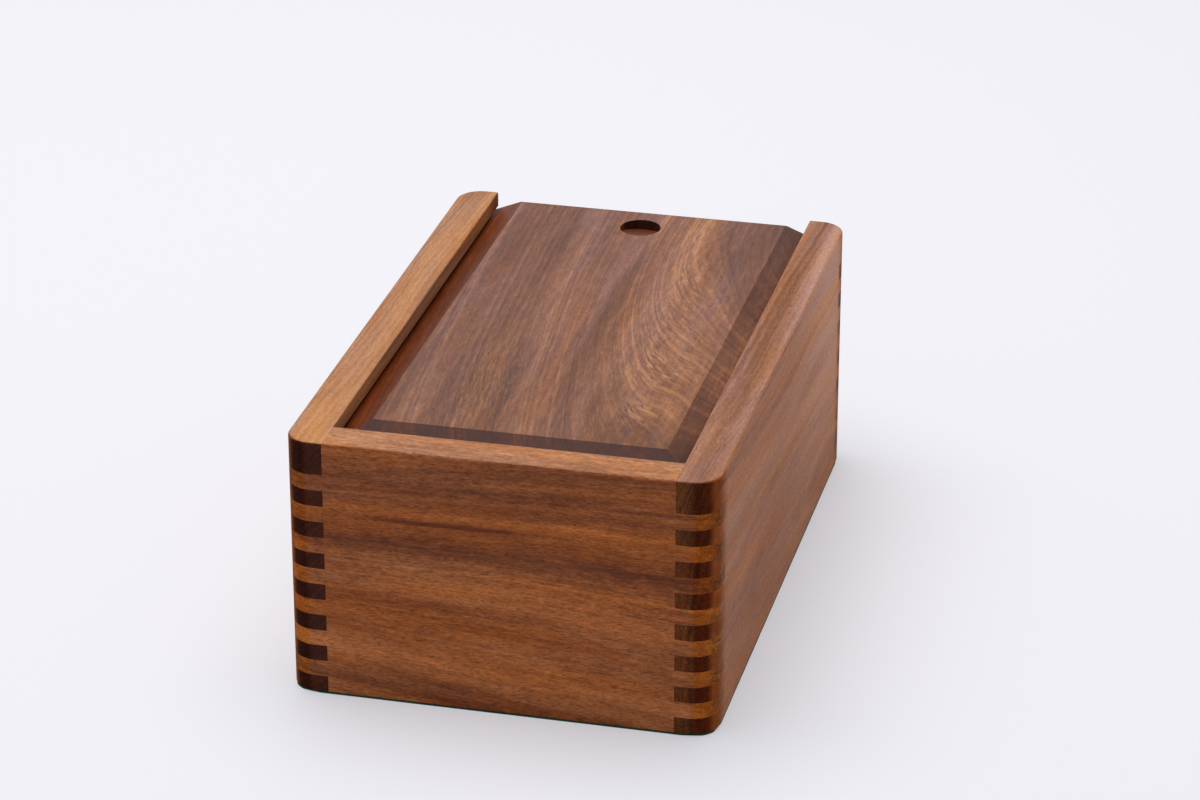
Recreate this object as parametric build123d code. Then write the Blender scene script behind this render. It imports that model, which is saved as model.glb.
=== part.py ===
"""Wooden storage box with finger-jointed corners and a bevelled lid that slides out over its rear wall.

Frame: origin at the middle of the underside, X across the side walls, Y from front to rear, Z up.
The front wall is the full-height one at -Y, and the lid opens towards +Y.
"""
from build123d import *

import os
from math import atan2, degrees

# Driving dimensions, in millimetres.
width = 160.0               # outside, across the two side walls
depth = 248.0               # outside, from the front face to the rear face
wall = 15.0                 # thickness of all four walls
finger = 6.3                # height of one row of the corner joints
rows = 16                   # rows of fingers from the base to the rim
lid_rows = 2                # rows at the rim that the side walls keep whole, round the lid's groove
corner_radius = 10.0        # upright corners, rounded after the walls were glued
rim_round = 1.2             # sanded outer edge of the rim
edge_round = 0.5            # sanded inner edge of the rim, and the lid's rear edge

groove_depth = 5.0          # how far the lid's edge goes into a wall
lip = 6.0                   # wood left above the groove

lid_thickness = 8.9         # at the raised field
lid_play = 0.3              # under the lid
lid_side_play = 0.5         # beside the lid, in each groove
field_margin = 10.0         # side bevel that shows between the wall and the raised field
lid_edge = 3.1              # thickness of the lid's thin edge, inside the grooves
front_bevel = 21.0          # the front bevel, which is wider than the side ones

notch_radius = 8.2          # round thumb notch, cut on a slant
notch_depth = 3.8           # at its rear side
notch_front_depth = 0.2     # at its front side
notch_from_rear = 16.5      # from the lid's rear edge to the notch's middle
notch_offset = -1.5         # the notch is a little left of the middle

panel = 4.0                 # bottom panel
rebate = 6.0                # how far the panel is let into the walls
felt = 1.0                  # felt under the base and on the floor
lining_gap = 0.3            # round the felt on the floor

divider = 6.0               # thickness of the divider
divider_dado = 3.0          # how far it is let into the side walls
divider_drop = 7.0          # from the lid's groove down to the divider's top
divider_round = 2.0         # the divider's top edges

past = 1.0                  # how far a cut goes on past the face that it opens
near = 0.01                 # an edge this close to a level lies on it

# Levels and faces that follow from them.
half_width = width / 2
half_depth = depth / 2
inner_x = half_width - wall
inner_y = half_depth - wall
rim = felt + rows * finger
groove_floor = rim - lid_rows * finger
groove_top = rim - lip
floor = felt + panel
divider_top = groove_floor - divider_drop
lid_bottom = groove_floor + lid_play
lid_top = lid_bottom + lid_thickness
lid_half = inner_x + groove_depth - lid_side_play
lid_front = -inner_y - groove_depth + lid_side_play
field_half = inner_x - field_margin


def span(x, y, z):
    """A box between two X, two Y and two Z positions."""
    size = [high - low for low, high in (x, y, z)]
    middle = [(high + low) / 2 for low, high in (x, y, z)]
    return Pos(*middle) * Box(*size)


def footprint():
    """The box's outline seen from above."""
    return RectangleRounded(width, depth, corner_radius)


def carcase():
    """The four walls as one, with the cavity, the lid's groove and the housings cut in them."""
    body = Pos(0, 0, felt) * extrude(footprint(), rim - felt)
    body = fillet(body.faces().sort_by(Axis.Z)[-1].edges(), rim_round)
    body -= span((-inner_x, inner_x), (-inner_y, inner_y), (0, rim + past))
    body -= span((-inner_x, inner_x), (0, half_depth + past), (groove_floor, rim + past))
    inner_rim = [
        edge
        for edge in body.edges().filter_by(lambda e: abs(e.center().Z - rim) < near)
        if abs(edge.center().X) < inner_x + near and edge.center().Y < inner_y
    ]
    body = fillet(inner_rim, edge_round)
    body -= lid_groove()
    body -= span(
        (-inner_x - rebate, inner_x + rebate), (-inner_y - rebate, inner_y + rebate), (0, floor)
    )
    body -= span(
        (-inner_x - divider_dado, inner_x + divider_dado),
        (-divider / 2, divider / 2),
        (floor, divider_top),
    )
    return body


def lid_groove():
    """The groove round three walls, stopped inside the front wall and open at the rear."""
    reach = inner_x + groove_depth
    return span((-reach, reach), (-inner_y - groove_depth, half_depth + past), (groove_floor, groove_top))


def end_wall_fingers():
    """Every second row in the four corners: the fingers of the front and rear walls."""
    fingers = []
    for row in range(1, rows - lid_rows, 2):
        level = (felt + row * finger, felt + (row + 1) * finger)
        for side in (-1, 1):
            x = sorted((side * inner_x, side * (half_width + past)))
            for end in (-1, 1):
                y = sorted((end * inner_y, end * (half_depth + past)))
                fingers.append(span(x, y, level))
    return fingers


def side_wall(body, fingers, side):
    """Left (-1) or right (1) wall: full length, with slots where the other walls' fingers go."""
    x = sorted((side * inner_x, side * (half_width + past)))
    blank = body & span(x, (-half_depth - past, half_depth + past), (0, rim + past))
    return blank - fingers


def end_wall(body, fingers, end):
    """Front (-1) or rear (1) wall: it stands between the side walls, with its fingers through them."""
    y = sorted((end * inner_y, end * (half_depth + past)))
    blank = body & span((-inner_x, inner_x), y, (0, rim + past))
    for piece in fingers:
        if piece.center().Y * end > 0:
            blank += body & piece
    return blank


def lid():
    """Raised-panel lid: a flat field with bevels left, right and front, and a square rear edge."""
    edge_top = lid_bottom + lid_edge
    across = Polyline(
        (-lid_half, lid_bottom),
        (lid_half, lid_bottom),
        (lid_half, edge_top),
        (field_half, lid_top),
        (-field_half, lid_top),
        (-lid_half, edge_top),
        close=True,
    )
    along = [
        Polyline(
            (half_depth - edge_round, lid_top),
            (lid_front + front_bevel, lid_top),
            (lid_front, edge_top),
            (lid_front, lid_bottom),
            (half_depth, lid_bottom),
            (half_depth, lid_top - edge_round),
        ),
        RadiusArc((half_depth, lid_top - edge_round), (half_depth - edge_round, lid_top), -edge_round),
    ]
    board = extrude(Plane.XZ * make_face(across), depth, both=True)
    board &= extrude(Plane.YZ * make_face(along), width, both=True)
    return board - thumb_notch()


def thumb_notch():
    """A round cutter leant back, so that the notch is deep at the rear and runs out at the front."""
    lean = degrees(atan2(notch_depth - notch_front_depth, 2 * notch_radius))
    front_y = half_depth - notch_from_rear - notch_radius
    cutter = Pos(0, notch_radius, 2 * notch_depth) * Cylinder(notch_radius, 4 * notch_depth)
    return Pos(notch_offset, front_y, lid_top - notch_front_depth) * Rot(-lean, 0, 0) * cutter


def bottom_panel():
    """Thin panel in a rebate round the underside of the walls."""
    return span(
        (-inner_x - rebate, inner_x + rebate), (-inner_y - rebate, inner_y + rebate), (felt, floor)
    )


def base_felt():
    """Felt over the whole underside, trimmed flush with the walls. The box stands on it."""
    return extrude(footprint(), felt)


def divider_board():
    """Board across the middle, housed in both side walls, with a rounded top edge."""
    reach = inner_x + divider_dado
    board = span((-reach, reach), (-divider / 2, divider / 2), (floor, divider_top))
    top_edges = board.faces().sort_by(Axis.Z)[-1].edges().filter_by(Axis.X)
    return fillet(top_edges, divider_round)


def floor_felt(end):
    """Felt on the floor of the front (-1) or rear (1) compartment."""
    y = sorted((end * (divider / 2 + lining_gap), end * (inner_y - lining_gap)))
    return span((-inner_x + lining_gap, inner_x - lining_gap), y, (floor, floor + felt))


def build():
    """All pieces by name."""
    body = carcase()
    fingers = end_wall_fingers()
    return {
        "front_wall": end_wall(body, fingers, -1),
        "rear_wall": end_wall(body, fingers, 1),
        "left_wall": side_wall(body, fingers, -1),
        "right_wall": side_wall(body, fingers, 1),
        "lid": lid(),
        "bottom_panel": bottom_panel(),
        "base_felt": base_felt(),
        "divider": divider_board(),
        "front_floor_felt": floor_felt(-1),
        "rear_floor_felt": floor_felt(1),
    }


if __name__ == "__main__":
    os.makedirs("parts", exist_ok=True)
    for node, shape in build().items():
        export_step(shape, f"parts/{node}.step")
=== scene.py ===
"""Looks of the wooden sliding-lid chess box: wood and felt materials, felt meshes, studio and camera.

Metres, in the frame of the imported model: X across the box, Y from the front wall to the rear, Z up.
"""
import math

import bpy
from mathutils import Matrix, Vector, noise


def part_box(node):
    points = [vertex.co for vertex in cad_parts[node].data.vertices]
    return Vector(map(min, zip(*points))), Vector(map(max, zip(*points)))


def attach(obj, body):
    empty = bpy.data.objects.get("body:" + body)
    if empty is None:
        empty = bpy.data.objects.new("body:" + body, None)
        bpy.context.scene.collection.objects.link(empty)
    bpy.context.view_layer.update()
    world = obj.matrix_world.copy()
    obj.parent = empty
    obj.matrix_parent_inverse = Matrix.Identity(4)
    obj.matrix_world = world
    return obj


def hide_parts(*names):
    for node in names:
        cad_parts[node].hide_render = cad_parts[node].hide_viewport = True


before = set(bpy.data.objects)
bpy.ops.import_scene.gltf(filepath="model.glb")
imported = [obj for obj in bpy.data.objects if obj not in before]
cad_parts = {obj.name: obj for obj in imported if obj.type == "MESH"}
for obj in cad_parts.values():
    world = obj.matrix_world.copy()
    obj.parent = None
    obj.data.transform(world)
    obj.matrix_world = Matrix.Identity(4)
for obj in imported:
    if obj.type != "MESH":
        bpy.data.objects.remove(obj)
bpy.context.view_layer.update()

MM = 0.001
AXES = "XYZ"


# ---------------------------------------------------------------- places on the box

CORNER_RADIUS = 10 * MM         # upright corners of the walls and of the felt under them
SQUARE_CORNER = 0.6 * MM        # corners of the felt on the floor
CORNER_SHADE_START = 104 * MM            # from the middle to where the painted shade beside the corners begins
CORNER_SHADE_FADE = 16 * MM              # how far it takes to its full strength
NOTCH_X = -1.5 * MM             # the lid's thumb notch
NOTCH_FROM_REAR = 16.5 * MM
NOTCH_RADIUS = 8.2 * MM
NOTCH_RIM = 0.6 * MM            # its tone goes this far beyond its wall
NOTCH_START = 0.05 * MM         # and starts this far below the lid's top
REAR_SHEEN_Y = (0.0, 110 * MM)   # where the painted sheen on a side wall's rear part fades in, along it
REAR_SHEEN_Z = (20 * MM, 80 * MM)


# ---------------------------------------------------------------- colours

# Woods, each from dark to light.
WARM = ((0.140, 0.034, 0.009), (0.290, 0.084, 0.021), (0.450, 0.144, 0.037), (0.570, 0.196, 0.055))
TAN = ((0.220, 0.080, 0.030), (0.350, 0.145, 0.062), (0.480, 0.220, 0.095), (0.640, 0.320, 0.150))
ROSE = ((0.115, 0.036, 0.011), (0.230, 0.077, 0.026), (0.345, 0.127, 0.050), (0.480, 0.204, 0.090))
LID = ((0.080, 0.032, 0.020), (0.150, 0.061, 0.035), (0.240, 0.104, 0.059), (0.450, 0.210, 0.100))
PALE = ((0.260, 0.150, 0.080), (0.350, 0.220, 0.120), (0.430, 0.280, 0.160), (0.560, 0.390, 0.240))
PALETTE_STOPS = (0.0, 0.35, 0.62, 1.0)
GOLD = (0.420, 0.205, 0.105)

# Tints, which multiply the wood's colour.
COOLER = (0.94, 1.0, 1.3)
WARMER = (1.06, 0.97, 0.78)
# Painted light and sheen on the walls' upward faces: paler and bluer on the end walls and the right
# wall, a little darker on the left.
PAINTED_TOP_LIGHT_END_WALL = (1.32, 1.86, 2.8)
PAINTED_TOP_LIGHT_LEFT = (0.93, 0.98, 1.0)
PAINTED_TOP_LIGHT_RIGHT = (0.90, 1.09, 1.50)
# Painted shade on the upright corners and on the side faces beside them: darker and more saturated, as
# if they had no sheen.
PAINTED_CORNER_SHADE_END_WALL = (1.0, 0.85, 0.30)
PAINTED_CORNER_SHADE_LEFT = (0.55, 0.34, 0.15)
PAINTED_CORNER_SHADE_RIGHT = (0.62, 0.40, 0.20)
# Painted sheen on the upper rear part of the right wall's side face.
PAINTED_REAR_SHEEN = (1.22, 1.36, 1.70)
END_OF_BOARD = (0.20, 0.12, 0.07)
END_OF_WARM = (0.72, 0.80, 0.95)
END_OF_TAN = (0.11, 0.045, 0.012)
END_OF_ROSE = (0.32, 0.22, 0.055)
END_OF_PALE = (0.7, 0.7, 0.7)
LID_FRONT = (1.02, 0.96, 0.76)
LID_REAR = (1.0, 1.02, 1.10)
# Bevel tints: partly the darker tone of cut wood, partly painted shade, as the tilted faces get less
# light and no sheen.
BEVEL_CUT_AND_SHADE = (0.57, 0.48, 0.42)
LEFT_BEVEL_CUT_AND_SHADE = (1.0, 0.58, 0.18)
FRONT_BEVEL_CUT_AND_SHADE = (0.58, 0.32, 0.12)
NOTCH = (0.76, 0.42, 0.06)

# Felt, each with its place on the tufts' scale of tones.
FELT = ((0.3, (0.006, 0.03, 0.018)), (0.5, (0.012, 0.06, 0.036)), (0.72, (0.03, 0.12, 0.075)))
FELT_SHEEN = (0.5, 0.8, 0.65, 1.0)

# Studio.
SWEEP_LIT = (0.75, 0.745, 0.78, 1.0)
SWEEP_SHOWN = (0.88, 0.88, 0.93, 1.0)
SKY_LIT = (0.95, 0.97, 1.0, 1.0)
SKY_SHOWN = (0.87, 0.87, 0.93, 1.0)


# ---------------------------------------------------------------- node helpers

# The mix node's colour sockets. It has others with the same names.
MIX_A = 6
MIX_B = 7
MIX_RESULT = 2

# How far a board's seed moves its noise on Y and Z, against X.
SEED_Y = 2.3
SEED_Z = 3.7


class Graph:
    """Short calls for building one material's or world's node tree."""

    def __init__(self, tree):
        self.tree = tree
        tree.nodes.clear()

    def node(self, kind, inputs=None, **settings):
        made = self.tree.nodes.new(kind)
        for name, value in settings.items():
            setattr(made, name, value)
        for key, value in (inputs or {}).items():
            self.feed(made.inputs[key], value)
        return made

    def feed(self, socket, value):
        if isinstance(value, bpy.types.NodeSocket):
            self.tree.links.new(value, socket)
        else:
            socket.default_value = value

    def math(self, operation, a, b=0.0, c=0.0, clamp=False):
        made = self.node("ShaderNodeMath", {0: a, 1: b, 2: c}, operation=operation, use_clamp=clamp)
        return made.outputs[0]

    def magnitude(self, value):
        """The value without its sign."""
        return self.math("ABSOLUTE", value)

    def vector(self, operation, a, b=(0.0, 0.0, 0.0)):
        made = self.node("ShaderNodeVectorMath", {0: a, 1: b}, operation=operation)
        return made.outputs["Value"] if operation == "LENGTH" else made.outputs[0]

    def split(self, vector):
        return self.node("ShaderNodeSeparateXYZ", {0: vector}).outputs

    def join(self, x, y, z):
        return self.node("ShaderNodeCombineXYZ", {0: x, 1: y, 2: z}).outputs[0]

    def noise(self, vector, scale, detail=2.0, roughness=0.5, distortion=0.0):
        inputs = {"Vector": vector, "Scale": scale, "Detail": detail, "Roughness": roughness}
        made = self.node("ShaderNodeTexNoise", inputs | {"Distortion": distortion})
        return made.outputs["Fac"]

    def noise_line(self, place, scale, detail=2.0, roughness=0.5):
        """Noise along one coordinate."""
        inputs = {"W": place, "Scale": scale, "Detail": detail, "Roughness": roughness}
        made = self.node("ShaderNodeTexNoise", inputs, noise_dimensions="1D")
        return made.outputs["Fac"]

    def fit(self, value, low, high, to_low=0.0, to_high=1.0, smooth=True):
        """Moves a value's range from low and high to to_low and to_high, and stops at their ends."""
        made = self.node(
            "ShaderNodeMapRange",
            {"Value": value, "From Min": low, "From Max": high, "To Min": to_low, "To Max": to_high},
            interpolation_type="SMOOTHSTEP" if smooth else "LINEAR",
        )
        return made.outputs["Result"]

    def mix(self, factor, a, b, blend="MIX"):
        made = self.node("ShaderNodeMix", data_type="RGBA", blend_type=blend)
        self.feed(made.inputs["Factor"], factor)
        self.feed(made.inputs[MIX_A], a)
        self.feed(made.inputs[MIX_B], b)
        return made.outputs[MIX_RESULT]

    def tinted(self, colour, tint):
        return self.mix(1.0, colour, (*tint, 1.0), "MULTIPLY")

    def tint_where(self, where, colour, tint):
        """The colour, tinted by an amount from 0 to 1."""
        return self.mix(where, colour, self.tinted(colour, tint))

    def shaded(self, colour, shade):
        return self.vector("MULTIPLY", colour, self.join(shade, shade, shade))

    def ramp(self, factor, stops):
        made = self.node("ShaderNodeValToRGB", {"Fac": factor})
        elements = made.color_ramp.elements
        while len(elements) < len(stops):
            elements.new(0.5)
        for element, (position, colour) in zip(elements, stops):
            element.position = position
            element.color = (*colour, 1.0)
        return made.outputs["Color"]


class Board(Graph):
    """The node tree of one board, which knows which way its fibres run and has its own noise."""

    def __init__(self, tree, grain, seed):
        super().__init__(tree)
        coordinates = self.node("ShaderNodeTexCoord")
        self.place = coordinates.outputs["Object"]
        self.facing = self.split(coordinates.outputs["Normal"])
        self.axis = self.split(self.place)
        self.along = AXES.index(grain)
        self.cross = [index for index in range(3) if index != self.along]
        self.seed = seed

    def fibre_noise(self, scale, stretch, offset, detail=2.0, roughness=0.5, space=None):
        """Noise drawn out along the grain by 1 / stretch."""
        squeeze = [1.0, 1.0, 1.0]
        squeeze[self.along] = stretch
        offsets = (self.seed + offset, SEED_Y * self.seed, SEED_Z * self.seed)
        moved = self.vector("ADD", space or self.place, offsets)
        return self.noise(self.vector("MULTIPLY", moved, tuple(squeeze)), scale, detail, roughness)


def new_material(name, kind=Graph, **settings):
    """A material, and what builds its node tree."""
    material = bpy.data.materials.new(name)
    material.use_nodes = True
    return material, kind(material.node_tree, **settings)


# ---------------------------------------------------------------- wood

# Slow wandering of the fibres on the two axes across them: its noise, and how far it moves them.
WANDERS = (
    (dict(scale=13.0, stretch=0.25, offset=0.0), 9 * MM),
    (dict(scale=17.0, stretch=0.25, offset=4.1), 6 * MM),
)

# Noise along the growth rings' distance from the pith, in cells for each metre.
BROAD_RINGS = dict(scale=75.0, roughness=0.5)
FINE_RINGS = dict(scale=750.0, roughness=0.6)
END_RINGS = dict(scale=700.0, roughness=0.6)

# Noise along the fibres.
RIPPLES = dict(scale=260.0, stretch=0.6, offset=8.3, detail=1.5)
LONG_STREAKS = dict(scale=95.0, stretch=0.05, offset=9.2)
THIN_STREAKS = dict(scale=480.0, stretch=0.06, offset=6.6, roughness=0.6)
DASHES = dict(scale=620.0, stretch=0.22, offset=4.4, roughness=0.6)
HUES = dict(scale=85.0, stretch=0.08, offset=2.9, roughness=0.6)
FIBRES = dict(scale=1800.0, stretch=0.22, offset=1.3, roughness=0.75)
PORES = dict(scale=3800.0, stretch=0.14, offset=5.7, detail=1.0)

# The part of a noise's range that is used. Beyond it the effect stays the same.
RIPPLE_RANGE = (0.2, 0.8)
HUE_RANGE = (0.32, 0.68)
FIBRE_RANGE = (0.25, 0.75)
PORE_RANGE = (0.54, 0.70)
GOLD_RANGE = (0.45, 0.66)
ARC_RANGE = (0.3, 0.7)
DOT_RANGE = (0.35, 0.65)

LONG_STREAK_SHARE = 0.30
THIN_STREAK_SHARE = 0.18
TONE_SPREAD = 0.14              # how far the mixed noise strays from its middle value
BAND_EDGE = 3.0                 # how flat a band's top is
GOLD_CELLS = (2000.0, 120.0, 120.0)     # for each metre out from the pith, across and along the board
GOLD_LINES = dict(scale=1.0, detail=3.0, roughness=0.65)
END_DOTS = dict(scale=1700.0, detail=1.0, roughness=0.6)
ARC_SHADES = (0.7, 1.3)         # end grain's rings, from dark to light
DOT_SHADES = (0.62, 1.38)       # end grain's pores

# Where a face begins to show end grain, and where it is all end grain: cosines between its normal
# and the fibres.
END_TURN = (0.15, 0.60)
END_TURN_OF_ENDS = (0.60, 0.97)
END_TURN_OF_SIDES = (0.50, 0.78)

WOOD_IOR = 1.23
BUMP_HEIGHT = 0.04 * MM
BUMP_STRENGTH = 0.3
FIBRE_HEIGHT = 0.4              # against 1 for a pore's depth
TEXTURE_RANGE = (0.3, 1.4)      # fibres and pores added up, from the glossiest to the dullest
GLOSSIER = -0.08                # what they change of the roughness at most
DULLER = 0.1
CORNER_ROUGHNESS = 0.4          # added where the corners' shade is painted, to take away their sheen


def bell(g, place, centre, reach, edge=1.0):
    """1 at the centre and a half at reach. Along an axis whose reach is None it doesn't fall.

    A higher edge gives it a flatter top and a sharper fall.
    """
    total = 0.0
    for value, middle, half in zip(place, centre, reach):
        if half is not None:
            distance = g.math("DIVIDE", g.math("SUBTRACT", value, middle), half)
            total = g.math("ADD", g.math("MULTIPLY", distance, distance), total)
    if edge != 1.0:
        total = g.math("POWER", total, edge)
    return g.math("POWER", 2.0, g.math("MULTIPLY", total, -1.0))


def with_bells(g, value, place, zones, edge=1.0):
    """The value with a bell added for each zone, which is (centre, reach, strength)."""
    for centre, reach, strength in zones:
        value = g.math("ADD", value, g.math("MULTIPLY", bell(g, place, centre, reach, edge), strength))
    return value


def fibre_flow(g, lean, fan):
    """The fibres' own coordinates: they lean, wander slowly and fan out along the board."""
    flow = list(g.axis)
    for index, drift, (wandering, reach) in zip(g.cross, lean, WANDERS):
        wander = g.fit(g.fibre_noise(**wandering), 0.0, 1.0, -reach, reach, smooth=False)
        drifted = g.math("ADD", g.axis[index], g.math("MULTIPLY", g.axis[g.along], drift))
        flow[index] = g.math("ADD", drifted, wander)
    fanned = g.cross[1]
    spread_from, spread_rate = fan
    spread = g.math("MULTIPLY", g.math("SUBTRACT", spread_from, g.axis[fanned]), spread_rate)
    flow[fanned] = g.math("ADD", flow[fanned], g.math("MULTIPLY", g.axis[g.along], spread))
    return flow


def ring_level(g, flow, pith, dive, swells):
    """How far from the pith a point's growth ring is. The swells push the rings aside."""
    out = [g.math("SUBTRACT", flow[index], middle) for index, middle in zip(g.cross, pith)]
    out = [g.math("MULTIPLY_ADD", g.axis[g.along], drift, value) for value, drift in zip(out, dive)]
    return with_bells(g, g.vector("LENGTH", g.join(*out, 0.0)), flow, swells)


def streaks(g, space, level, fine_level, contrast, broad, ring_lines, flecks):
    """Light and dark streaks at several sizes, from the rings and along the fibres, round 0.5."""
    layers = (
        (g.noise_line(level, **BROAD_RINGS), broad),
        (g.noise_line(fine_level, **FINE_RINGS), ring_lines),
        (g.fibre_noise(**LONG_STREAKS, space=space), LONG_STREAK_SHARE),
        (g.fibre_noise(**THIN_STREAKS, space=space), THIN_STREAK_SHARE),
        (g.fibre_noise(**DASHES, space=space), flecks),
    )
    total = sum(weight for _, weight in layers)
    tone = 0.0
    for value, weight in layers:
        tone = g.math("ADD", g.math("MULTIPLY", value, weight / total), tone)
    spread = TONE_SPREAD / contrast
    return g.fit(tone, 0.5 - spread, 0.5 + spread, smooth=False)


def with_hues(g, colour, space):
    """The wood is cooler in some streaks and warmer in others."""
    hue = g.fit(g.fibre_noise(**HUES, space=space), *HUE_RANGE)
    return g.mix(hue, g.tinted(colour, COOLER), g.tinted(colour, WARMER))


def with_gold(g, colour, flow, fine_level, zones):
    """Pale lines between the rings, within the zones."""
    across = g.axis[g.cross[0]]
    drawn_out = g.vector("MULTIPLY", g.join(fine_level, across, g.axis[g.along]), GOLD_CELLS)
    lines = g.fit(g.noise(drawn_out, **GOLD_LINES), *GOLD_RANGE)
    strength = g.math("MULTIPLY", lines, with_bells(g, 0.0, flow, zones), clamp=True)
    return g.mix(strength, colour, (*GOLD, 1.0))


def with_pores(g, colour, fibres, pore_mark, speckle):
    """Open pores: fine dark dashes between paler ones, close together."""
    shade = g.fit(fibres, *FIBRE_RANGE, 1.0 - speckle, 1.0 + speckle, smooth=False)
    shade = g.math("SUBTRACT", shade, g.math("MULTIPLY", pore_mark, speckle))
    return g.shaded(colour, shade)


def with_end_grain(g, colour, fine_level, end_tint, end_turn):
    """Faces across the fibres drink the oil: they show the rings as arcs and the pores as dots."""
    end_grain = g.fit(g.magnitude(g.facing[g.along]), *end_turn)
    arcs = g.fit(g.noise_line(fine_level, **END_RINGS), *ARC_RANGE, *ARC_SHADES, smooth=False)
    dots = g.fit(g.noise(g.place, **END_DOTS), *DOT_RANGE, *DOT_SHADES, smooth=False)
    end_colour = g.shaded(g.tinted(colour, end_tint), g.math("MULTIPLY", arcs, dots))
    return g.mix(end_grain, colour, end_colour)


def wood_shader(g, colour, fibres, pore_mark, roughness):
    """A satin-finished surface, with the fibres and pores in its relief and its gloss."""
    height = g.math("SUBTRACT", g.math("MULTIPLY", fibres, FIBRE_HEIGHT), pore_mark)
    relief = {"Strength": BUMP_STRENGTH, "Distance": BUMP_HEIGHT, "Height": height}
    bump = g.node("ShaderNodeBump", relief)
    texture = g.math("ADD", fibres, pore_mark)
    rough = g.fit(texture, *TEXTURE_RANGE, roughness + GLOSSIER, roughness + DULLER, smooth=False)
    rough = g.math("ADD", rough, g.math("MULTIPLY", painted_corner_shade(g), CORNER_ROUGHNESS), clamp=True)
    shader = g.node(
        "ShaderNodeBsdfPrincipled",
        {"Base Color": colour, "Roughness": rough, "IOR": WOOD_IOR, "Normal": bump.outputs["Normal"]},
    )
    g.node("ShaderNodeOutputMaterial", {"Surface": shader.outputs[0]})


def wood(
    name,
    grain,
    palette,
    pith,
    seed,
    lean=(0.0, 0.0),
    fan=(0.0, 0.0),
    dive=(0.0, 0.0),
    swells=(),
    bands=(),
    marks=(),
    gold=(),
    contrast=1.0,
    broad=0.34,
    ring_lines=0.25,
    flecks=0.12,
    ripple=0.4 * MM,
    speckle=0.2,
    end_tint=END_OF_BOARD,
    end_turn=END_TURN,
    roughness=0.5,
    tones_and_painted_light=None,
):
    """A board sawn from a log. grain is the axis that its fibres follow; a and b are the other two.

    palette: four colours from dark to light
    pith: where the middle of the log lies on a and b, in metres
    seed: tells one board's noise from another's
    lean: how far the fibres drift on a and b for each metre along the grain
    fan: the place on b that the fibres spread from, and how fast they do
    dive: how far the growth rings drift on a and b for each metre along the grain
    swells: places that push the rings aside, each (centre, reach, height)
    bands: darker (below 0) or lighter growth rings, each (distance from the pith, reach, strength)
    marks: darker or lighter places, each (centre, reach, strength)
    gold: places where pale lines show between the rings, in the same form
    contrast: the strength of all streaks
    broad, ring_lines, flecks: the share of the broad streaks, the rings' fine lines and short dashes
    ripple: how far the fine lines waver
    speckle: the strength of the pores
    end_tint: colours the faces that cut across the fibres
    end_turn: the cosines between a face's normal and the fibres where that begins and where it is whole
    tones_and_painted_light: a function that changes the colour of a board's cut places and paints light
    and shade on it
    """
    material, g = new_material(name, Board, grain=grain, seed=seed)
    flow = fibre_flow(g, lean, fan)
    space = g.join(*flow)
    level = ring_level(g, flow, pith, dive, swells)
    band_zones = [((distance,), (reach,), strength) for distance, reach, strength in bands]
    band_tone = with_bells(g, 0.0, (level,), band_zones, BAND_EDGE)
    level = g.math("ADD", level, seed)
    wave = g.fit(g.fibre_noise(**RIPPLES), *RIPPLE_RANGE, -ripple, ripple, smooth=False)
    fine_level = g.math("ADD", wave, level)

    tone = streaks(g, space, level, fine_level, contrast, broad, ring_lines, flecks)
    tone = with_bells(g, g.math("ADD", tone, band_tone), flow, marks)
    colour = with_hues(g, g.ramp(tone, list(zip(PALETTE_STOPS, palette))), space)
    if gold:
        colour = with_gold(g, colour, flow, fine_level, gold)

    fibres = g.fibre_noise(**FIBRES)
    pore_mark = g.fit(g.fibre_noise(**PORES), *PORE_RANGE)
    colour = with_pores(g, colour, fibres, pore_mark, speckle)
    colour = with_end_grain(g, colour, fine_level, end_tint, end_turn)
    if tones_and_painted_light:
        colour = tones_and_painted_light(g, colour)
    wood_shader(g, colour, fibres, pore_mark, roughness)
    return material


# ---------------------------------------------------------------- worked places and painted light

# The range of a normal's part along an axis, over which a tone fades in.
SIDEWAYS = (0.6, 0.95)          # along X, in either direction
TURNING = (0.03, 0.3)           # along X times along Y
RIM_UPWARD = (0.7, 0.95)        # along Z
LID_UPWARD = (0.5, 0.8)
LID_TILTED = (0.995, 0.97)
LEFTWARD = (-0.2, -0.4)         # along X
FRONTWARD = (-0.12, -0.2)       # along Y


def side_face(g):
    """1 on the faces that look left or right."""
    return g.fit(g.magnitude(g.facing[0]), *SIDEWAYS)


def painted_corner_shade(g):
    """Where the corners' shade is painted and their roughness raised: 1 where an upright corner turns
    between two faces. It fades to 0 along the box's sides.
    """
    turn = g.fit(g.magnitude(g.math("MULTIPLY", g.facing[0], g.facing[1])), *TURNING)
    beside = g.fit(g.magnitude(g.axis[1]), CORNER_SHADE_START, CORNER_SHADE_START + CORNER_SHADE_FADE)
    return g.math("MAXIMUM", turn, g.math("MULTIPLY", beside, side_face(g)))


def wall_painted_light(top_light_tint, corner_shade_tint, rear_sheen_tint=None):
    """Painted light on a wall: painted light and sheen on its rim's upward faces, painted shade on its
    routed upright corners.

    rear_sheen_tint, if given, paints sheen on the upper rear part of the wall's side face.
    """

    def tones_and_painted_light(g, colour):
        # Painted sheen on the upper rear part of the side face.
        if rear_sheen_tint:
            rearward, raised = g.fit(g.axis[1], *REAR_SHEEN_Y), g.fit(g.axis[2], *REAR_SHEEN_Z)
            where = g.math("MULTIPLY", g.math("MULTIPLY", rearward, raised), side_face(g))
            colour = g.tint_where(where, colour, rear_sheen_tint)
        # Painted light and sheen on the upward faces of the rim.
        upward = g.fit(g.facing[2], *RIM_UPWARD)
        colour = g.tint_where(upward, colour, top_light_tint)
        # Painted shade on the upright corners and on the side faces beside them.
        return g.tint_where(painted_corner_shade(g), colour, corner_shade_tint)

    return tones_and_painted_light


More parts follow.
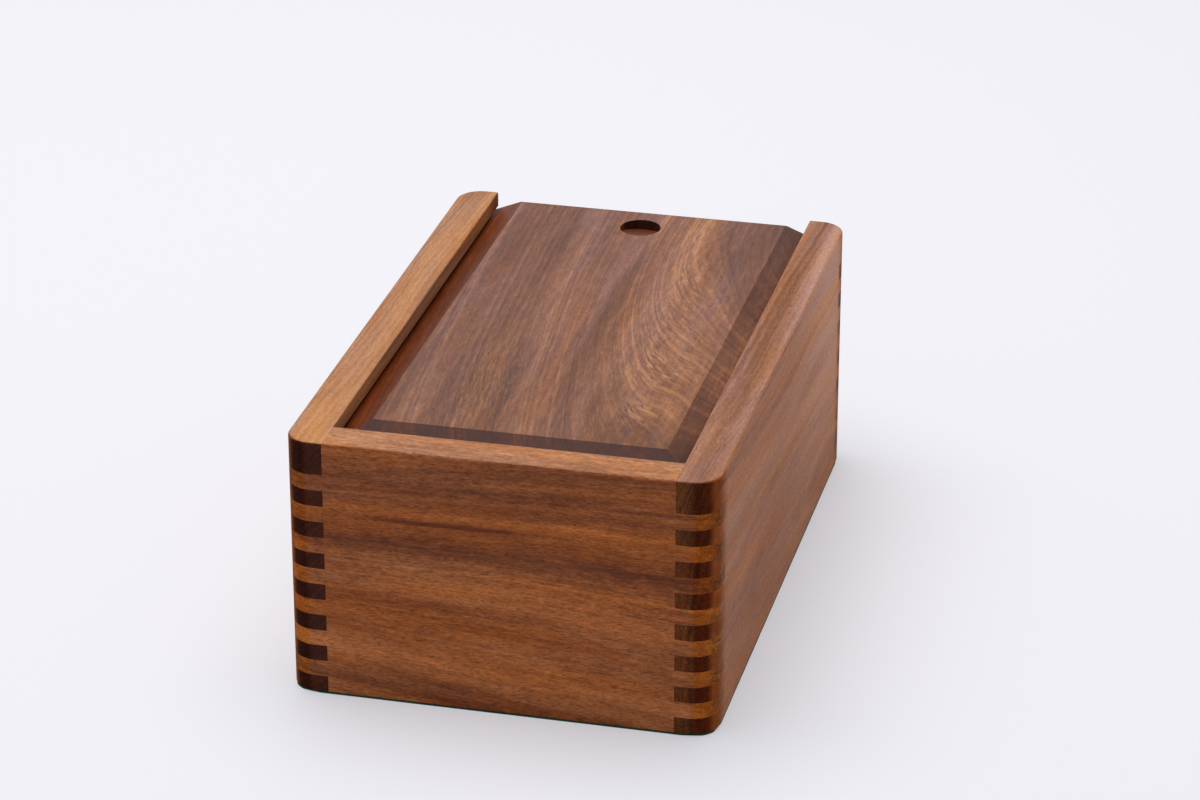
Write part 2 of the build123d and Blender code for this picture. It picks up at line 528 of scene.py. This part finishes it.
def lid_cuts_and_shade(g, colour):
    """The lid's bevels and thumb notch are cut, not planed, so they are darker than its field. Painted
    shade darkens the bevels further.

    The board is redder towards its front edge and greyer towards the rear.
    """
    low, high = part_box("lid")
    rearward = g.fit(g.axis[1], low.y, high.y, smooth=False)
    lengthwise = g.mix(rearward, (*LID_FRONT, 1.0), (*LID_REAR, 1.0))
    colour = g.mix(1.0, colour, lengthwise, "MULTIPLY")

    upward = g.fit(g.facing[2], *LID_UPWARD)
    tilted = g.fit(g.facing[2], *LID_TILTED)
    leftward = g.fit(g.facing[0], *LEFTWARD)
    frontward = g.fit(g.facing[1], *FRONTWARD)
    # Painted shade on the bevels, on top of their darker cut tone.
    for turned, tint in ((tilted, BEVEL_CUT_AND_SHADE), (leftward, LEFT_BEVEL_CUT_AND_SHADE), (frontward, FRONT_BEVEL_CUT_AND_SHADE)):
        colour = g.tint_where(g.math("MULTIPLY", turned, upward), colour, tint)

    from_x = g.math("SUBTRACT", g.axis[0], NOTCH_X)
    from_y = g.math("SUBTRACT", g.axis[1], high.y - NOTCH_FROM_REAR)
    out = g.vector("LENGTH", g.join(from_x, from_y, 0.0))
    inside = g.math("LESS_THAN", out, NOTCH_RADIUS + NOTCH_RIM)
    below = g.math("LESS_THAN", g.axis[2], high.z - NOTCH_START)
    return g.tint_where(g.math("MULTIPLY", inside, below), colour, NOTCH)


# ---------------------------------------------------------------- boards

# How wood() is called for each solid board. Places are in metres, and None is a reach without end.
BOARDS = {
    "front_wall": dict(
        grain="X", palette=WARM, pith=(-0.10, 0.20), fan=(0.075, 2.0), seed=3.1, contrast=0.72,
        broad=0.18, ring_lines=0.14, flecks=0.2, speckle=0.42,
        end_tint=END_OF_WARM, end_turn=END_TURN_OF_ENDS,
        tones_and_painted_light=wall_painted_light(PAINTED_TOP_LIGHT_END_WALL, PAINTED_CORNER_SHADE_END_WALL),
        marks=(
            ((0.0, 0.0, 0.086), (None, None, 0.020), -0.18),
            ((0.0, 0.0, 0.063), (None, None, 0.0035), -0.22),
            ((-0.02, 0.0, 0.0735), (0.025, None, 0.0008), -0.7),
            ((0.02, 0.0, 0.0765), (0.050, None, 0.0012), 0.25),
            ((-0.01, 0.0, 0.047), (0.040, None, 0.007), 0.24),
            ((-0.03, 0.0, 0.0405), (0.040, None, 0.0018), -0.16),
            ((0.045, 0.0, 0.043), (0.025, None, 0.0035), 0.15),
            ((0.0, 0.0, 0.027), (None, None, 0.006), -0.24),
            ((0.0, 0.0, 0.015), (None, None, 0.004), 0.12),
            ((-0.03, 0.0, 0.009), (0.030, None, 0.0020), -0.12),
            ((0.050, 0.0, 0.005), (0.025, None, 0.0030), -0.25),
            ((0.0, 0.0, 0.001), (None, None, 0.003), -0.15),
        ),
    ),
    "rear_wall": dict(
        grain="X", palette=WARM, pith=(0.16, -0.08), lean=(0.0, -0.04), seed=7.4, contrast=0.8,
        broad=0.24, ring_lines=0.16, flecks=0.2, speckle=0.36,
        end_tint=END_OF_WARM, end_turn=END_TURN_OF_ENDS,
        tones_and_painted_light=wall_painted_light(PAINTED_TOP_LIGHT_END_WALL, PAINTED_CORNER_SHADE_END_WALL),
        marks=(
            # The first mark darkens the whole wall: painted shade against the lamp behind it. Then come
            # a darker band and a darker patch.
            ((0.0, 0.0, 0.045), (None, None, 0.080), -0.20),
            ((0.0, 0.0, 0.070), (None, None, 0.010), -0.15),
            ((0.03, 0.0, 0.031), (0.060, None, 0.003), -0.20),
        ),
    ),
    "left_wall": dict(
        grain="Y", palette=TAN, pith=(-0.16, 0.16), lean=(0.0, 0.05), seed=11.2, contrast=0.7,
        roughness=0.65, end_tint=END_OF_TAN, end_turn=END_TURN_OF_SIDES,
        tones_and_painted_light=wall_painted_light(PAINTED_TOP_LIGHT_LEFT, PAINTED_CORNER_SHADE_LEFT),
    ),
    "right_wall": dict(
        grain="Y", palette=ROSE, pith=(0.25, 0.02), lean=(0.0, 0.10), seed=5.9, contrast=0.7,
        roughness=0.65, speckle=0.26, end_tint=END_OF_ROSE, end_turn=END_TURN_OF_SIDES,
        tones_and_painted_light=wall_painted_light(PAINTED_TOP_LIGHT_RIGHT, PAINTED_CORNER_SHADE_RIGHT, PAINTED_REAR_SHEEN),
        marks=(
            # The first mark is painted sheen on the upper rear of the side face and on the rail's rear
            # end. The second is a painted reflection of the floor at the lower rear.
            ((0.080, 0.100, 0.095), (0.004, 0.050, 0.035), 0.55),
            ((0.080, 0.080, 0.025), (0.004, 0.055, 0.025), 0.30),
            ((0.080, 0.0, 0.0), (0.0035, None, None), 0.2),
            ((0.073, 0.0, 0.0), (0.0020, None, None), -0.1),
            ((0.066, 0.0, 0.0), (0.0030, None, None), 0.2),
        ),
    ),
    "lid": dict(
        grain="Y", palette=LID, pith=(0.075, 0.130), dive=(0.0, 0.234), seed=2.3, contrast=0.8,
        broad=0.16, ring_lines=0.22, flecks=0.2, ripple=0.18 * MM,
        tones_and_painted_light=lid_cuts_and_shade,
        swells=(
            ((0.057, -0.055, 0.0), (0.0165, 0.052, None), 0.009),
            ((0.022, 0.101, 0.0), (0.018, 0.090, None), -0.016),
        ),
        bands=(
            (0.0215, 0.0095, -0.26),
            (0.0350, 0.0016, 0.10),
            (0.0465, 0.0004, 0.20),
            (0.0500, 0.0003, 0.16),
            (0.0545, 0.0004, 0.22),
            (0.0580, 0.0003, 0.16),
        ),
        gold=(
            ((0.0245, 0.100, 0.0), (0.0026, 0.028, None), 1.0),
            ((0.0300, 0.062, 0.0), (0.0036, 0.018, None), 0.8),
            ((0.034, 0.045, 0.0), (0.008, 0.016, None), 0.4),
            ((0.034, 0.008, 0.0), (0.013, 0.020, None), 0.6),
            ((0.036, -0.026, 0.0), (0.012, 0.013, None), 1.05),
            ((0.041, -0.063, 0.0), (0.009, 0.009, None), 0.85),
            ((-0.026, -0.050, 0.0), (0.010, 0.040, None), 0.3),
            ((0.0, 0.0, 0.0), (0.080, None, None), 0.10),
        ),
        marks=(
            # A dark streak down the middle, then a light and a dark one in front, left of it.
            ((0.007, 0.005, 0.0), (0.0028, 0.060, None), -0.24),
            ((-0.012, -0.055, 0.0), (0.0016, 0.040, None), 0.2),
            ((-0.018, -0.070, 0.0), (0.004, 0.035, None), -0.14),
            # The right half: the gold streak beside the notch, the dark patch right of it, and the
            # front corner.
            ((0.0245, 0.095, 0.0), (0.003, 0.030, None), 0.12),
            ((0.042, 0.085, 0.0), (0.012, 0.030, None), -0.10),
            ((0.040, -0.088, 0.0), (0.014, 0.014, None), -0.20),
            # The right bevel, at its middle, its rear and its front.
            ((0.060, -0.005, 0.0), (0.004, 0.035, None), 0.20),
            ((0.060, 0.085, 0.0), (0.005, 0.030, None), 0.30),
            ((0.060, -0.090, 0.0), (0.005, 0.035, None), -0.35),
            # The left half, at the front and at the rear.
            ((-0.030, -0.060, 0.0), (0.022, 0.040, None), -0.12),
            ((-0.032, 0.090, 0.0), (0.012, 0.030, None), -0.12),
        ),
    ),
    "bottom_panel": dict(grain="Y", palette=PALE, pith=(0.0, -0.2), seed=13.7, end_tint=END_OF_PALE),
    "divider": dict(grain="X", palette=WARM, pith=(0.12, 0.2), seed=17.9),
}


def paint_boards():
    """Each board gets its own wood, so that no two are alike."""
    for node, board in BOARDS.items():
        material = wood(node + "_wood", **board)
        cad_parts[node].data.materials[0] = material


# ---------------------------------------------------------------- felt

FELT_SOFT = 0.12                # how far the rims round off, as a share of the thickness
FELT_SOFT_REACH = 0.8 * MM      # and how far in from the edge
FELT_NAP = 0.12                 # the upper face's hollows, as a share of the thickness
FELT_WAVER = 0.10 * MM          # how far the cut edge strays inwards
FELT_WAVER_REACH = 3 * MM       # how far in from the edge that can be felt
FELT_WAVES = 140                # noise cells for each metre of the edge
NAP_WAVES = 1.7                 # the nap's cells against the edge's

TUFTS = dict(scale=900.0, detail=4.0, roughness=0.7, distortion=1.5)
PATCHES = dict(scale=60.0, detail=3.0)
TUFT_SHARE = 0.8                # of the felt's tone
PATCH_SHARE = 0.2
TUFT_HEIGHT = 0.2 * MM


def felt_material():
    """Dark green felt: matted fibres with a little sheen."""
    material, g = new_material("felt")
    place = g.node("ShaderNodeTexCoord").outputs["Object"]
    tufts, patches = g.noise(place, **TUFTS), g.noise(place, **PATCHES)
    tone = g.math("ADD", g.math("MULTIPLY", tufts, TUFT_SHARE), g.math("MULTIPLY", patches, PATCH_SHARE))
    bump = g.node("ShaderNodeBump", {"Strength": 0.8, "Distance": TUFT_HEIGHT, "Height": tufts})
    shader = g.node(
        "ShaderNodeBsdfPrincipled",
        {
            "Base Color": g.ramp(tone, FELT),
            "Roughness": 1.0,
            "IOR": 1.05,
            "Sheen Weight": 0.06,
            "Sheen Roughness": 0.7,
            "Sheen Tint": FELT_SHEEN,
            "Normal": bump.outputs["Normal"],
        },
    )
    g.node("ShaderNodeOutputMaterial", {"Surface": shader.outputs[0]})
    return material


def grid_steps(half, pitch=8 * MM, edge=(0.0, 0.1 * MM, 0.3 * MM, 0.7 * MM, 1.6 * MM, 4 * MM)):
    """Places from -half to half: close together at both ends, then evenly spaced."""
    inner = half - edge[-1]
    count = max(2, round(2 * inner / pitch))
    middle = [inner * (2 * i / count - 1) for i in range(1, count)]
    return [step - half for step in edge] + middle + [half - step for step in reversed(edge)]


def rounded(x, y, half_x, half_y, corner):
    """Moves a point of a rectangle's grid so that the rectangle's corners are round."""
    over_x, over_y = abs(x) - half_x + corner, abs(y) - half_y + corner
    if over_x <= 0 or over_y <= 0:
        return x, y
    pull = 1 - max(over_x, over_y) / math.hypot(over_x, over_y)
    return x - math.copysign(over_x * pull, x), y - math.copysign(over_y * pull, y)


def felt_layer(half_x, half_y, thick, corner, seed, upper):
    """The points of a sheet's upper or lower face, round its middle."""
    points = []
    for y in grid_steps(half_y):
        for x in grid_steps(half_x):
            inside = max(0.0, min(half_x - abs(x), half_y - abs(y)))
            place_x, place_y = rounded(x, y, half_x, half_y, corner)
            spot = Vector((place_x * FELT_WAVES, place_y * FELT_WAVES, seed))
            trim = FELT_WAVER * (0.5 + 0.5 * noise.noise(spot)) * max(0.0, 1 - inside / FELT_WAVER_REACH)
            shrink = 1 - trim / max(abs(place_x), abs(place_y))
            fall = FELT_SOFT * thick * max(0.0, 1 - inside / FELT_SOFT_REACH) ** 2
            if upper:
                fall += FELT_NAP * thick * (0.5 + 0.5 * noise.noise(spot * NAP_WAVES))
            z = thick / 2 - fall
            points.append(Vector((place_x * shrink, place_y * shrink, z if upper else -z)))
    return points


def slab_faces(wide, long):
    """Faces over a grid of upper points, under the same grid of lower ones, and round the rim."""
    count = wide * long
    faces = []
    for row in range(long - 1):
        for column in range(wide - 1):
            a = row * wide + column
            quad = (a, a + 1, a + 1 + wide, a + wide)
            faces += [quad, tuple(count + i for i in reversed(quad))]
    rim = list(range(wide)) + [row * wide + wide - 1 for row in range(1, long)]
    rim += [count - 1 - i for i in range(1, wide)] + [row * wide for row in range(long - 2, 0, -1)]
    for a, b in zip(rim, rim[1:] + rim[:1]):
        faces.append((b, a, count + a, count + b))
    return faces


def felt_sheet(node, corner, seed, material):
    """A cut felt sheet in the place of its plain solid, with soft edges that waver a little."""
    low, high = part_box(node)
    half_x, half_y, thick = (high.x - low.x) / 2, (high.y - low.y) / 2, high.z - low.z
    middle = (low + high) / 2
    points = []
    for upper in (True, False):
        points += [point + middle for point in felt_layer(half_x, half_y, thick, corner, seed, upper)]
    faces = slab_faces(len(grid_steps(half_x)), len(grid_steps(half_y)))

    mesh = bpy.data.meshes.new(node + "_sheet")
    mesh.from_pydata(points, [], faces)
    mesh.shade_smooth()
    mesh.materials.append(material)
    sheet = bpy.data.objects.new(node + "_sheet", mesh)
    bpy.context.scene.collection.objects.link(sheet)
    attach(sheet, "box")
    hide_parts(node)


def dress_felt():
    """Felt sheets under the base and on the floor of both compartments."""
    material = felt_material()
    felt_sheet("base_felt", CORNER_RADIUS, 3.0, material)
    felt_sheet("front_floor_felt", SQUARE_CORNER, 7.0, material)
    felt_sheet("rear_floor_felt", SQUARE_CORNER, 11.0, material)


# ---------------------------------------------------------------- studio


def seen_directly(g):
    """1 where the backdrop shows in the picture, also in a reflection or through a clear piece."""
    path = g.node("ShaderNodeLightPath").outputs
    reflected = g.math("MAXIMUM", path["Is Glossy Ray"], path["Is Transmission Ray"])
    return g.math("MAXIMUM", path["Is Camera Ray"], reflected)


def sweep_mesh():
    """A floor that curves up into a wall behind the box."""
    steps = 24
    near, back, rise, half = -3.0, 2.4, 0.6, 4.0
    profile = [(near, 0.0), (back, 0.0)]
    for step in range(1, steps + 1):
        turn = math.pi / 2 * step / steps
        profile.append((back + rise * math.sin(turn), rise - rise * math.cos(turn)))
    vertices = [(x, y, z) for y, z in profile for x in (-half, half)]
    faces = [(2 * i, 2 * i + 1, 2 * i + 3, 2 * i + 2) for i in range(len(profile) - 1)]
    mesh = bpy.data.meshes.new("sweep")
    mesh.from_pydata(vertices, [], faces)
    return mesh


def backdrop():
    """The pale sweep. It is a little paler where it shows than where it lights the box."""
    mesh = sweep_mesh()
    sweep = bpy.data.objects.new("sweep", mesh)
    bpy.context.scene.collection.objects.link(sweep)
    material, g = new_material("sweep")
    lit = g.node("ShaderNodeBsdfDiffuse", {"Color": SWEEP_LIT})
    shown = g.node("ShaderNodeEmission", {"Color": SWEEP_SHOWN})
    shown_share = 0.35
    seen = g.math("MULTIPLY", seen_directly(g), shown_share)
    shader = g.node("ShaderNodeMixShader", {0: seen, 1: lit.outputs[0], 2: shown.outputs[0]})
    g.node("ShaderNodeOutputMaterial", {"Surface": shader.outputs[0]})
    mesh.materials.append(material)


def sky():
    """A pale world, which lights the box less than it shows."""
    world = bpy.data.worlds.new("studio")
    world.use_nodes = True
    bpy.context.scene.world = world
    g = Graph(world.node_tree)
    lit = g.node("ShaderNodeBackground", {"Color": SKY_LIT, "Strength": 0.34})
    shown = g.node("ShaderNodeBackground", {"Color": SKY_SHOWN, "Strength": 1.0})
    both = g.node("ShaderNodeMixShader", {0: seen_directly(g), 1: lit.outputs[0], 2: shown.outputs[0]})
    g.node("ShaderNodeOutputWorld", {"Surface": both.outputs[0]})


def aim(thing, place, target):
    """Puts a lamp or camera in its place, turned towards the target."""
    thing.location = place
    thing.rotation_euler = (Vector(target) - Vector(place)).to_track_quat("-Z", "Y").to_euler()
    bpy.context.scene.collection.objects.link(thing)


def overhead_light():
    """One large soft lamp above the box, a little to the left and behind."""
    data = bpy.data.lights.new("overhead", "AREA")
    data.size = 2.4
    data.energy = 60.0
    aim(bpy.data.objects.new("overhead", data), place=(-0.3, 0.25, 2.2), target=(0.0, 0.0, 0.0))


def camera():
    """From the photograph's place, 25 degrees above the table and 14 degrees right of the front."""
    data = bpy.data.cameras.new("camera")
    data.lens = 125.0
    data.sensor_width = 36.0
    eye = bpy.data.objects.new("camera", data)
    aim(eye, place=(0.3475, -1.4086, 0.7410), target=(0.0, 0.032, 0.056))
    bpy.context.scene.camera = eye


paint_boards()
dress_felt()
backdrop()
sky()
overhead_light()
camera()
bpy.context.scene.view_settings.view_transform = "Standard"
